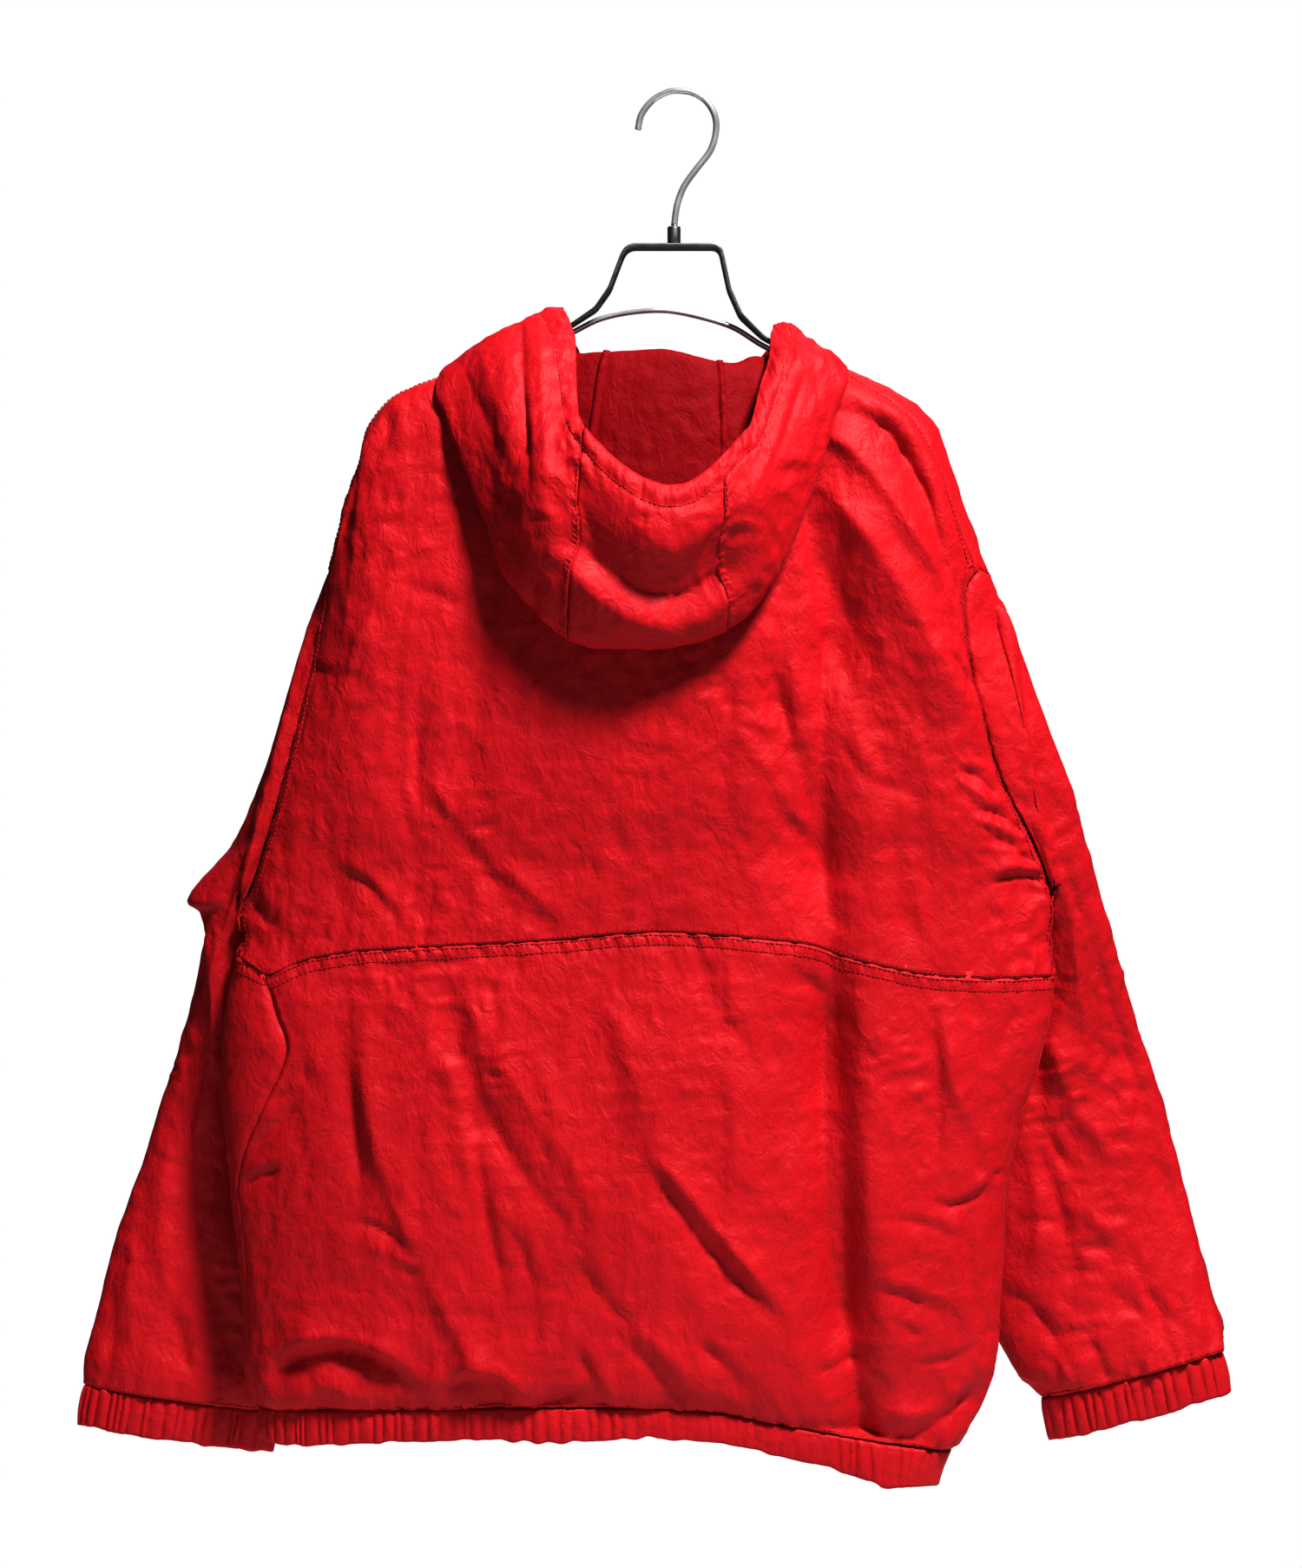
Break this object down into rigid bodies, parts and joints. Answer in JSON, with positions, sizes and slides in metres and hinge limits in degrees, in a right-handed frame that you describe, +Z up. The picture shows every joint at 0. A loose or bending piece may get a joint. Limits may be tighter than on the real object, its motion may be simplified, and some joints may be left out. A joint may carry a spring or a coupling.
{
  "type": "anorak pullover with its hanger",
  "caption": "Hooded pullover anorak of thin red cloth with an elastic hem and gathered cuffs, seen from the back, on a metal hanger with a wire hook.",
  "frame": {"origin": "the inner top of the hanger's hook, where a rail holds it up", "axes": "+Z up along the hanging garment, +X to the right of the view at its back, +Y from the back of the garment to its front"},
  "size_m": [0.7667, 0.1797, 0.9163],
  "materials": {
    "red cloth": "crinkled washed cloth with a slight sheen",
    "dark metal": "dull dark metal",
    "bright wire": "bright metal wire"
  },
  "bodies": {
    "root": {"hanger_hook": "bright wire", "hanger_collar": "dark metal", "hanger_strip": "dark metal", "hanger_rod": "bright wire", "back_upper": "red cloth", "front_upper": "red cloth", "back_lower": "red cloth", "front_lower": "red cloth", "hem_band": "red cloth", "sleeve_left": "red cloth", "sleeve_right": "red cloth", "cuff_left": "red cloth", "cuff_right": "red cloth", "hood_side_left": "red cloth", "hood_centre": "red cloth", "hood_side_right": "red cloth"}
  },
  "joints": []
}
